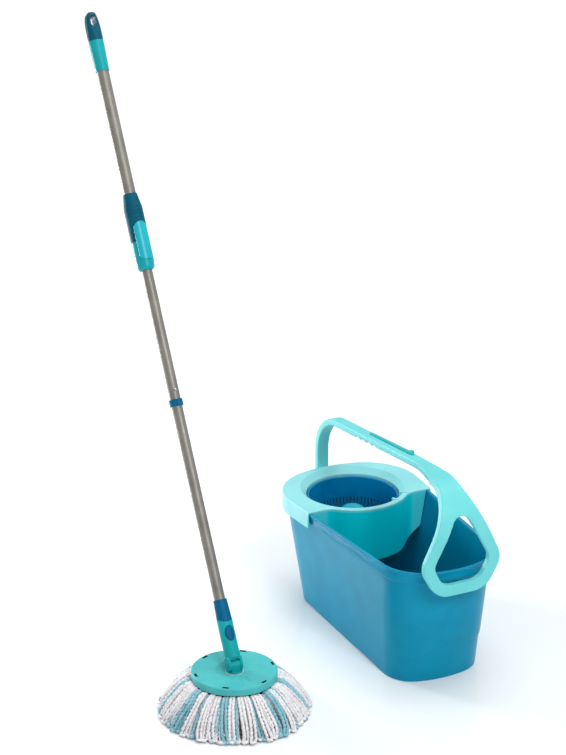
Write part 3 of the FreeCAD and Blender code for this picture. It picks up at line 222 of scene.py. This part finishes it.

# Where the partition's painted shade fades in, in mm: past the collar's end, and down from its edge.
WALL_SHADE_X = (-78.0, -73.0)
WALL_SHADE_Z = (262.5, 256.0)
MATERIALS = {
    # Moulded polypropylene: a little waxy, with soft, broad highlights.
    "tub_polypropylene": moulded("tub_polypropylene", "#008daf", "#0085a7", rough=0.28, grain_mm=1.4,
                                 depth=0.1, scuffs=0.06, shine=0.12),
    # The collar's wall colour is painted shade, for the partition below the collar's edge.
    "collar_polypropylene": moulded("collar_polypropylene", "#8ed6da", "#84d0d5", rough=0.3, depth=0.15,
                                    wall="#00ccd9"),
    "bail_polypropylene": moulded("bail_polypropylene", "#6fced0", "#66c8cb", rough=0.38, depth=0.2),
    "rail_polypropylene": moulded("rail_polypropylene", "#2fb4b9", "#27aab0", rough=0.4),
    "basket_polypropylene": moulded("basket_polypropylene", "#007cb0", "#006fa0", rough=0.26, depth=0.1,
                                    scuffs=0.06),
    "hub_polypropylene": moulded("hub_polypropylene", "#22b0c6", "#1aa5bc", rough=0.32),
    "disc_polypropylene": moulded("disc_polypropylene", "#4db9bb", "#44afb2", rough=0.4, depth=0.3),
    # Moulded nylon: hard and half-matt, with a finer grain on the dark collars.
    "socket_nylon": moulded("socket_nylon", "#0fa2a6", "#0a999d", rough=0.36, shine=0.15),
    "collar_nylon": moulded("collar_nylon", "#005f86", "#005579", rough=0.42, grain_mm=0.7, depth=0.35,
                            shine=0.1),
    "hook_nylon": moulded("hook_nylon", "#10161a", "#0a0e11", rough=0.5, shine=0.1),
    # Moulded rubber: deep and matt, with a fine grain that is pleasant to hold.
    "grip_rubber": moulded("grip_rubber", "#00586e", "#004d61", rough=0.55, grain_mm=0.6, depth=0.5,
                           shine=0.1),
    # ABS from a polished mould: smooth, with the sharpest highlights of the pole's plastics.
    "grip_abs": moulded("grip_abs", "#0fa0a9", "#0b969f", rough=0.28),
    "slider_abs": moulded("slider_abs", "#22a9b8", "#1a9fae", rough=0.25),
    # Moulded nylon again, for the cap and its sleeve: half-matt.
    "cap_nylon": moulded("cap_nylon", "#005068", "#00475c", rough=0.4, shine=0.12),
    "sleeve_nylon": moulded("sleeve_nylon", "#10999f", "#0b8f95", rough=0.34),
    # Acetal: smooth and milky, nearly white.
    "bush_acetal": moulded("bush_acetal", "#dcded8", "#d0d2cc", rough=0.35),
    # Lacquered aluminium: warm grey, with a soft sheen along the pole.
    "tube_aluminium": lacquered_tube("tube_aluminium", "#8f8c86", "#7b7872"),
    # Steel: the pins bright with sharp reflections, the springs and clips greyer with soft ones.
    "pin_steel": turned_steel("pin_steel", "#cfd1d3", 0.14),
    "spring_steel": turned_steel("spring_steel", "#a5a8aa", 0.28),
    # Microfibre: soft and dull, with a faint sheen at the edges of the strands.
    # Each yarn's last colour is painted shade, for the hollows between its tufts.
    "white_yarn": yarn("white_yarn", "#faf7f8", "#eeebee", "#b9c4ca"),
    "blue_yarn": yarn("blue_yarn", "#a0d0dd", "#82c0d0", "#3f8ba0"),
}
FINISH = {
    "bucket_tub": "tub_polypropylene", "insert_frame": "collar_polypropylene", "basket_axle": "pin_steel",
    "basket_clip": "spring_steel", "bail_handle": "bail_polypropylene", "bail_rail": "rail_polypropylene",
    "bail_pivots": "pin_steel", "spin_basket": "basket_polypropylene", "basket_hub": "hub_polypropylene",
    "basket_bush": "bush_acetal", "swivel_knuckle": "socket_nylon", "thrust_washer": "bush_acetal",
    "knuckle_clip": "spring_steel", "hinge_pin": "pin_steel", "mop_disc": "disc_polypropylene",
    "fringe_ring": "hook_nylon", "fringe": "white_yarn", "socket_fork": "socket_nylon",
    "pole_end_collar": "collar_nylon", "release_spring": "spring_steel", "lower_tube": "tube_aluminium",
    "joint_ring": "collar_nylon", "joint_sleeve": "spring_steel", "snap_spring": "spring_steel",
    "mid_tube": "tube_aluminium", "nut_cage": "bush_acetal", "cage_cap": "bush_acetal",
    "release_button": "collar_nylon", "snap_button": "pin_steel", "drive_nut": "bush_acetal",
    "twisted_rod": "pin_steel", "rod_plug": "bush_acetal", "upper_tube": "tube_aluminium",
    "grip_lower": "grip_abs", "grip_upper": "grip_rubber", "grip_screws": "pin_steel",
    "guide_bush": "bush_acetal", "cap_sleeve": "sleeve_nylon", "hanging_eye": "cap_nylon",
    "lock_slider": "slider_abs", "lock_shoe": "bush_acetal",
}


def finish_node(name, finish):
    mesh = NODES[name].data
    mesh.materials.clear()
    mesh.materials.append(MATERIALS[finish])


def new_piece(name, mesh, body, finish):
    piece = bpy.data.objects.new(name, mesh)
    bpy.context.scene.collection.objects.link(piece)
    mesh.materials.clear()
    mesh.materials.append(MATERIALS[finish])
    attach(piece, body)
    return piece


def evaluated(piece):
    """The piece's mesh with its modifiers applied, as a plain new mesh."""
    bpy.context.view_layer.update()
    seen = piece.evaluated_get(bpy.context.evaluated_depsgraph_get())
    mesh = bpy.data.meshes.new_from_object(seen)
    bpy.data.objects.remove(piece)
    return mesh


def smooth_faces(mesh, angle=None):
    mesh.polygons.foreach_set("use_smooth", [True] * len(mesh.polygons))
    if angle is not None:
        mesh.set_sharp_from_angle(angle=math.radians(angle))


def softened(node, name, finish, voxel_mm, passes, change=None):
    """A moulded copy of a CAD piece whose edges are rounded off as a mould rounds them, and then reshaped."""
    source = NODES[node]
    work = bpy.data.objects.new(name + "_work", source.data.copy())
    bpy.context.scene.collection.objects.link(work)
    bm = bmesh.new()
    bm.from_mesh(work.data)
    bmesh.ops.remove_doubles(bm, verts=bm.verts, dist=0.01 * MM)
    bm.to_mesh(work.data)
    bm.free()
    remesh = work.modifiers.new("remesh", "REMESH")
    remesh.mode = "VOXEL"
    remesh.voxel_size = voxel_mm * MM
    ease = work.modifiers.new("ease", "SMOOTH")
    ease.factor = 0.5
    ease.iterations = passes
    mesh = evaluated(work)
    if change:
        for vertex in mesh.vertices:
            vertex.co = change(vertex.co)
    smooth_faces(mesh)
    body = BODY_OF[node]
    piece = new_piece(name, mesh, body, finish)
    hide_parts(node)
    return piece


BODY_OF = {node: body for body, nodes in frame["record"]["behaviour"]["bodies"].items() for node in nodes}

for node_name, finish_name in FINISH.items():
    finish_node(node_name, finish_name)


# ------------------------------------------------------------ moulded parts
def pole_station(place):
    """How far up the pole a point is, in mm from the hinge pin."""
    return (place - PIN).dot(UP) / MM


EYE_TOP_MM = max(pole_station(vertex.co) for vertex in NODES["hanging_eye"].data.vertices)
EYE_ROUND_MM = 46.0
EYE_CORE = 6.5 * MM
EYE_BLUNT = 0.9
EYE_CURVE = 2.6


def rounded_top(place):
    """Draws the hanging eye in towards its tip, round like a fingertip, with less pull near its slot."""
    station = pole_station(place)
    share = min(max((station - EYE_TOP_MM + EYE_ROUND_MM) / EYE_ROUND_MM, 0.0), 1.0)
    width = math.sqrt(max(1 - (EYE_BLUNT * share) ** EYE_CURVE, 0.0))
    axis = PIN + UP * station * MM
    across = (place - axis).dot(SIDE)
    keep = width if abs(across) > EYE_CORE else 1 - (1 - width) * (abs(across) / EYE_CORE) * 0.5
    return place - SIDE * across * (1 - keep)


softened("hanging_eye", "eye_moulding", "cap_nylon", 0.6, 6, rounded_top)
softened("bail_handle", "bail_moulding", "bail_polypropylene", 1.4, 8)
softened("grip_upper", "grip_upper_moulding", "grip_rubber", 0.6, 6)
softened("grip_lower", "grip_lower_moulding", "grip_abs", 0.6, 6)
softened("lock_slider", "slider_moulding", "slider_abs", 0.5, 6)
softened("release_button", "button_moulding", "collar_nylon", 0.4, 6)
softened("socket_fork", "socket_moulding", "socket_nylon", 0.6, 5)

# ------------------------------------------------------------ bucket tub
RIM = {"far_x": 271.0, "far_r": 112.0, "far_y": 33.0, "far_bow": 240.0,
       "end_x": 291.0, "end_r": 91.0, "end_y": 29.0, "end_bow": 222.0}
BASE = {"far_x": 252.5, "far_r": 78.0, "far_y": 17.0, "far_bow": 230.0,
        "end_x": 255.0, "end_r": 67.0, "end_y": 36.0, "end_bow": 210.0}
RIM_MM = RIM_Z / MM
BAND = 4.0
WALL = 2.6
FLOOR_MM = 8.0
NOTCHES = ((-190.0, -125.0), (60.0, 140.0))
NOTCH_H = 2.5
NOTCH_FROM_Y = 60.0
BAND_H = 26.0
LIP_R = 3.3
FLOOR_ROUND = 10.0
WAVE_STEP = 2.2
WAVE_LINE_H = 2.2


def ease_step(low, high, value):
    share = min(max((value - low) / (high - low), 0.0), 1.0)
    return share * share * (3 - 2 * share)


def plan_ring(z, inset):
    """The tub wall's outline at a height: two bowed ends with rounded corners, joined by tapering sides."""
    share = z / RIM_MM
    size = {key: BASE[key] + (RIM[key] - BASE[key]) * share for key in RIM}
    far_x, far_r, far_bow = (size[key] - inset for key in ("far_x", "far_r", "far_bow"))
    end_x, end_r, end_bow = (size[key] - inset for key in ("end_x", "end_r", "end_bow"))
    far_y, end_y = size["far_y"], size["end_y"]
    far_mid, end_mid = far_bow - far_x, end_x - end_bow
    far_cx = far_mid - math.sqrt((far_bow - far_r) ** 2 - far_y ** 2)
    end_cx = end_mid + math.sqrt((end_bow - end_r) ** 2 - end_y ** 2)
    reach = math.hypot(end_cx - far_cx, end_y - far_y)
    lean = math.atan2(end_y - far_y, end_cx - far_cx) + math.acos((far_r - end_r) / reach)
    far_out = math.atan2(far_y, far_cx - far_mid)
    end_out = math.atan2(end_y, end_cx - end_mid)
    ring = []

    def arc(cx, cy, radius, start, end, count):
        for i in range(count + 1):
            angle = start + (end - start) * i / count
            ring.append(Vector((cx + radius * math.cos(angle), cy + radius * math.sin(angle), z)))

    def run(target, count):
        last = ring[-1]
        for i in range(1, count):
            ring.append(last.lerp(target, i / count))

    arc(far_cx, far_y, far_r, lean, far_out, 24)
    arc(far_mid, 0, far_bow, far_out, 2 * math.pi - far_out, 32)
    arc(far_cx, -far_y, far_r, 2 * math.pi - far_out, 2 * math.pi - lean, 24)
    run(Vector((end_cx + end_r * math.cos(-lean), -end_y + end_r * math.sin(-lean), z)), 40)
    arc(end_cx, -end_y, end_r, -lean, -end_out, 24)
    arc(end_mid, 0, end_bow, -end_out, end_out, 40)
    arc(end_cx, end_y, end_r, end_out, lean, 24)
    run(ring[0].copy(), 40)
    return ring


def swoosh(point, z):
    """The wave moulded across the near end: the wall below it stands in, with a fine line under it."""
    y = point.y
    line = 50 + 42 * ease_step(-78, 4, y) - 18 * ease_step(14, 84, y)
    here = ease_step(195, 225, point.x) * ease_step(-88, -52, y)
    below = 1 - ease_step(line - 2.0, line + 0.6, z)
    second = 62 + 15 * ease_step(-50, 0, y) - 8 * ease_step(20, 80, y)
    groove = max(0.0, 1 - abs(z - second) / WAVE_LINE_H) * ease_step(-46, -10, y) * 0.4
    return here * (WAVE_STEP * below + groove)


def tub_rows():
    """The wall's section as (height, inset, outside): up the outside, over the lip and down the inside."""
    rows = [(5.0, WALL + 1, False), (0.6, WALL + 0.8, False), (0.0, WALL, True), (0.0, 0.9, True),
            (0.5, 0.2, True)]
    rows += [(1.4, 0.0, True), (2.6, 0.0, True), (4.0, 0.0, True)]
    z = 6.0
    while z < RIM_MM - BAND_H - 4:
        rows.append((z, 0.0, True))
        z += 2.0 if 40 <= z < 98 else 6.0
    low = RIM_MM - BAND_H
    rows += [(low - 2.6, 0.0, False), (low - 0.8, -0.5, False), (low, -1.8, False),
             (low + 0.4, -3.2, False)]
    rows += [(low + 1.0, -BAND + 0.4, False), (low + 2.2, -BAND, False), (low + 3.6, -BAND, False)]
    rows += [(low + 5.4, -BAND + 0.6, False), (low + 8, -BAND + 1.5, False), (low + 12, -BAND + 2.3, False)]
    rows += [(low + 16, -BAND + 2.7, False), (low + 19, -BAND + 2.4, False), (low + 21, -BAND + 1.2, False)]
    for i in range(9):
        angle = math.pi * i / 8
        rows.append((RIM_MM - LIP_R + LIP_R * math.sin(angle), LIP_R - BAND - LIP_R * math.cos(angle),
                     False))
    z = RIM_MM - 12.0
    while z > FLOOR_MM + 14:
        rows.append((z, WALL, z < 110))
        z -= 8.0
    for i in range(7):
        angle = math.pi / 2 * i / 6
        rows.append((FLOOR_MM + FLOOR_ROUND * (1 - math.sin(angle)),
                     WALL + FLOOR_ROUND * (1 - math.cos(angle)), False))
    rows += [(FLOOR_MM, 30.0, False), (FLOOR_MM, 60.0, False)]
    return rows


def tub_shell():
    bm = bmesh.new()
    rings = []
    for z, inset, outside in tub_rows():
        ring = plan_ring(z, inset)
        if outside:
            pulled = [swoosh(p, z) for p in ring]
            centre = Vector((20.0, 0.0, z))
            ring = [p + (centre - p).normalized() * d for p, d in zip(ring, pulled)]
        for p in ring:
            for low, high in NOTCHES:
                lift = NOTCH_H * ease_step(low - 2, low + 1, p.x) * (1 - ease_step(high - 1, high + 2, p.x))
                if z < NOTCH_H and abs(p.y) > NOTCH_FROM_Y:
                    p.z = max(p.z, lift)
        rings.append([bm.verts.new(p * MM) for p in ring])
    count = len(rings[0])
    for low, high in zip(rings, rings[1:]):
        for i in range(count):
            j = (i + 1) % count
            bm.faces.new((low[i], low[j], high[j], high[i]))
    bm.faces.new(rings[-1])
    bm.faces.new(rings[0][::-1])
    bmesh.ops.remove_doubles(bm, verts=bm.verts, dist=0.01 * MM)
    bmesh.ops.recalc_face_normals(bm, faces=bm.faces)
    mesh = bpy.data.meshes.new("tub_shell")
    bm.to_mesh(mesh)
    bm.free()
    smooth_faces(mesh, 50)
    return mesh


tub = new_piece("tub_shell", tub_shell(), "bucket", "tub_polypropylene")
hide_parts("bucket_tub")

# ------------------------------------------------------------ fringe
STRAND_MM = 6.8
PLY_PITCH_MM = 24.0


def strand_line(share, drop, reach):
    """(radius, height) at a share of the way from the ring under the disc, over and down to the floor."""
    points = [(77, 66), (89, 69), (104, 63), (121, 48), (136, 32), (147, 16), (151, 6)]
    place = share * (len(points) - 1)
    i = min(int(place), len(points) - 2)
    t = place - i
    before = points[max(i - 1, 0)]
    a, b = points[i], points[i + 1]
    after = points[min(i + 2, len(points) - 1)]
    values = []
    for k in (0, 1):
        m0, m1 = (b[k] - before[k]) / 2, (after[k] - a[k]) / 2
        values.append((2 * t ** 3 - 3 * t ** 2 + 1) * a[k] + (t ** 3 - 2 * t ** 2 + t) * m0
                      + (-2 * t ** 3 + 3 * t ** 2) * b[k] + (t ** 3 - t ** 2) * m1)
    radius = 77 + (values[0] - 77) * reach
    height = max(values[1] - drop * (0.35 + 0.65 * share), STRAND_MM * 0.75)
    return radius, height


def loop_points(rng, angle, gap, drop, reach, sway):
    """One looped strand: out along one side, round at the tip, and back along the other."""
    steps = 18
    drift = rng.uniform(-1, 1) * sway
    phase, swing = rng.uniform(0, 6.28), rng.uniform(0.6, 1.4)
    out = []
    for i in range(steps + 1):
        share = i / steps
        radius, height = strand_line(share, drop, reach)
        wave = math.sin(phase + share * 5.5 * swing) * 0.03 * share
        turn = angle + drift * share + wave
        spread = gap / 2 * (0.55 + 0.45 * share)
        out.append((radius, height, turn, spread / radius))
    there = [(r, h, a - s) for r, h, a, s in out]
    back = [(r * 0.995, h + 0.5, a + s * rng.uniform(0.9, 1.1)) for r, h, a, s in reversed(out)]
    tip_r, tip_h, tip_a, _ = out[-1]
    tip = [(tip_r + 3.2, tip_h, tip_a - gap * 0.32 / tip_r),
           (tip_r + 3.2, tip_h, tip_a + gap * 0.32 / tip_r)]
    return [Vector((HEAD.x / MM + r * math.cos(a), HEAD.y / MM + r * math.sin(a), h)) * MM
            for r, h, a in there + tip + back]


def cord_tree():
    """Sweeps a twisted three-ply cord along every path of the curve it is given."""
    tree = bpy.data.node_groups.new("twisted_cord", "GeometryNodeTree")
    face = tree.interface
    face.new_socket("Geometry", in_out="INPUT", socket_type="NodeSocketGeometry")
    for name, value in (("Diameter", STRAND_MM * MM), ("Ply Pitch", PLY_PITCH_MM * MM),
                        ("Ring Step", 0.0022)):
        socket = face.new_socket(name, in_out="INPUT", socket_type="NodeSocketFloat")
        socket.default_value = value
    face.new_socket("Finish", in_out="INPUT", socket_type="NodeSocketMaterial")
    face.new_socket("Geometry", in_out="OUTPUT", socket_type="NodeSocketGeometry")
    given = add(tree, "NodeGroupInput")
    path = add(tree, "GeometryNodeResampleCurve", {"Curve": given.outputs["Geometry"],
                                                   "Length": given.outputs["Ring Step"]}, mode="LENGTH")
    along = add(tree, "GeometryNodeSplineParameter")
    turns = add(tree, "ShaderNodeMath", {0: along.outputs["Length"], 1: given.outputs["Ply Pitch"]},
                operation="DIVIDE")
    angle = add(tree, "ShaderNodeMath", {0: turns.outputs[0], 1: 2 * math.pi}, operation="MULTIPLY")
    tilted = add(tree, "GeometryNodeSetCurveTilt",
                 {"Curve": path.outputs["Curve"], "Tilt": angle.outputs[0]})
    slubs = add(tree, "ShaderNodeTexNoise", {"Scale": 110.0, "Detail": 2.0})
    fat = add(tree, "ShaderNodeMapRange", {"Value": slubs.outputs["Fac"], "From Min": 0.3, "From Max": 0.7,
                                           "To Min": 0.8, "To Max": 1.16})
    sized = add(tree, "GeometryNodeSetCurveRadius",
                {"Curve": tilted.outputs["Curve"], "Radius": fat.outputs[0]})
    half = add(tree, "ShaderNodeMath", {0: given.outputs["Diameter"], 1: 0.58}, operation="MULTIPLY")
    valley = add(tree, "ShaderNodeMath", {0: given.outputs["Diameter"], 1: 0.38}, operation="MULTIPLY")
    plies = add(tree, "GeometryNodeCurveStar", {"Points": 3, "Outer Radius": half.outputs[0],
                                                "Inner Radius": valley.outputs[0], "Twist": 0.0})
    swept = add(tree, "GeometryNodeCurveToMesh", {"Curve": sized.outputs["Curve"],
                                                  "Profile Curve": plies.outputs[0], "Fill Caps": True})
    fuzz = add(tree, "ShaderNodeTexNoise", {"Scale": 330.0, "Detail": 1.0})
    lint = add(tree, "ShaderNodeVectorMath", {0: fuzz.outputs["Color"], 1: (-0.5, -0.5, -0.5)},
               operation="ADD")
    push = add(tree, "ShaderNodeVectorMath", {0: lint.outputs[0], "Scale": 0.004}, operation="SCALE")
    rough = add(tree, "GeometryNodeSetPosition",
                {"Geometry": swept.outputs["Mesh"], "Offset": push.outputs[0]})
    soft = add(tree, "GeometryNodeSetShadeSmooth", {"Geometry": rough.outputs["Geometry"]})
    real = add(tree, "GeometryNodeRealizeInstances", {"Geometry": soft.outputs["Geometry"]})
    coated = add(tree, "GeometryNodeSetMaterial", {"Geometry": real.outputs["Geometry"],
                                                   "Material": given.outputs["Finish"]})
    add(tree, "NodeGroupOutput", {"Geometry": coated.outputs["Geometry"]})
    return tree


CORD_TREE = cord_tree()


def cords(name, paths, finish, body, step_mm=2.2, diameter_mm=STRAND_MM):
    curve = bpy.data.curves.new(name, "CURVE")
    curve.dimensions = "3D"
    for path in paths:
        spline = curve.splines.new("NURBS")
        spline.points.add(len(path) - 1)
        for point, place in zip(spline.points, path):
            point.co = (*place, 1.0)
        spline.order_u = 3
        spline.use_endpoint_u = True
    work = bpy.data.objects.new(name + "_work", curve)
    bpy.context.scene.collection.objects.link(work)
    sweep = work.modifiers.new("sweep", "NODES")
    sweep.node_group = CORD_TREE
    ids = {item.name: item.identifier for item in CORD_TREE.interface.items_tree if item.in_out == "INPUT"}
    sweep[ids["Finish"]] = MATERIALS[finish]
    sweep[ids["Ring Step"]] = step_mm * MM
    sweep[ids["Diameter"]] = diameter_mm * MM
    return new_piece(name, evaluated(work), body, finish)


def fringe_cords():
    """Three rows of looped strands: the upper two white with blue loops between, the lowest all white."""
    rng = random.Random(11)
    white, blue, under = [], [], []
    rows = ((38, 0.0, 1.0, 0.09), (42, 7.0, 0.985, 0.08), (40, 14.0, 0.96, 0.06))
    for row, (count, drop, reach, sway) in enumerate(rows):
        for i in range(count):
            angle = 2 * math.pi * (i + 0.33 * row + rng.uniform(-0.3, 0.3)) / count
            gap = 8.4 + rng.uniform(-0.4, 1.6)
            far = reach * rng.uniform(0.9, 1.0)
            path = loop_points(rng, angle, gap, drop + rng.uniform(-1, 3), far, sway)
            if row == 2:
                under.append(path)
            elif (i % 4 == 2 and row == 0) or (i % 2 == 1 and row == 1):
                blue.append(path)
            else:
                white.append(path)
    return white, blue, under


white_paths, blue_paths, under_paths = fringe_cords()
fringe_white = cords("fringe_white", white_paths, "white_yarn", "mop_head")
fringe_blue = cords("fringe_blue", blue_paths, "blue_yarn", "mop_head")
fringe_under = cords("fringe_under", under_paths, "white_yarn", "mop_head", step_mm=3.2)
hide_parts("fringe")

# ------------------------------------------------------------ studio
CAMERA_AZIMUTH = 63.49
CAMERA_PITCH = 21.24
CAMERA_AT = (4.2853, -2.3785, 2.4689)
FOCAL_PX = 2582.0
LONG_SIDE_PX = 755.0
SENSOR_MM = 36.0


def studio_floor():
    """A white floor with a faint gloss, so that it gives a soft reflection."""
    made, tree, shader, where = material("white_floor")
    cloud = add(tree, "ShaderNodeTexNoise", {"Vector": where, "Scale": 1 / (300 * MM), "Detail": 2.0})
    ease = add(tree, "ShaderNodeMapRange", {"Value": cloud.outputs["Fac"], "To Min": 0.08, "To Max": 0.12})
    tree.links.new(ease.outputs[0], shader.inputs["Roughness"])
    shader.inputs["Base Color"].default_value = colour("#f0f4f6")
    shader.inputs["Specular IOR Level"].default_value = 0.5
    apart = add(tree, "ShaderNodeVectorMath", {0: where}, operation="LENGTH")
    far = add(tree, "ShaderNodeMapRange", {"Value": apart.outputs["Value"], "From Min": 0.5,
                                           "From Max": 2.6, "To Min": 0.0, "To Max": 0.5})
    shader.inputs["Emission Color"].default_value = colour("#ffffff")
    tree.links.new(far.outputs[0], shader.inputs["Emission Strength"])
    mesh = bpy.data.meshes.new("studio_floor")
    half = 12.0
    mesh.from_pydata([(-half, -half, 0), (half, -half, 0), (half, half, 0), (-half, half, 0)], [],
                     [(0, 1, 2, 3)])
    floor = bpy.data.objects.new("studio_floor", mesh)
    mesh.materials.append(made)
    bpy.context.scene.collection.objects.link(floor)


def area_light(name, place, target, size, power):
    light = bpy.data.lights.new(name, "AREA")
    light.shape = "RECTANGLE"
    light.size, light.size_y = size
    light.energy = power
    lamp = bpy.data.objects.new(name, light)
    lamp.location = place
    lamp.rotation_euler = (Vector(target) - Vector(place)).to_track_quat("-Z", "Y").to_euler()
    bpy.context.scene.collection.objects.link(lamp)


def studio_light():
    world = bpy.data.worlds.new("soft_white")
    world.use_nodes = True
    tree = world.node_tree
    tree.nodes.clear()
    sky = add(tree, "ShaderNodeBackground", {"Color": (1.0, 1.0, 1.0, 1.0), "Strength": 0.55})
    out = add(tree, "ShaderNodeOutputWorld")
    tree.links.new(sky.outputs[0], out.inputs["Surface"])
    bpy.context.scene.world = world
    area_light("key", (3.1, -0.2, 3.1), (0, -0.1, 0.1), (1.2, 1.2), 75)
    area_light("left_strip", (-1.5, -1.1, 0.5), (-0.1, -0.1, 0.15), (0.3, 0.8), 22)
    area_light("top", (-0.2, 0.4, 3.2), (0, -0.1, 0), (2.0, 2.0), 42)
    bpy.context.scene.view_settings.view_transform = "Standard"


def studio_camera():
    lens = bpy.data.cameras.new("camera")
    lens.sensor_width = SENSOR_MM
    lens.lens = FOCAL_PX / LONG_SIDE_PX * SENSOR_MM
    lens.clip_end = 100
    camera = bpy.data.objects.new("camera", lens)
    camera.location = CAMERA_AT
    camera.rotation_euler = Euler((math.radians(90 - CAMERA_PITCH), 0, math.radians(CAMERA_AZIMUTH)))
    bpy.context.scene.collection.objects.link(camera)
    bpy.context.scene.camera = camera


studio_floor()
studio_light()
studio_camera()
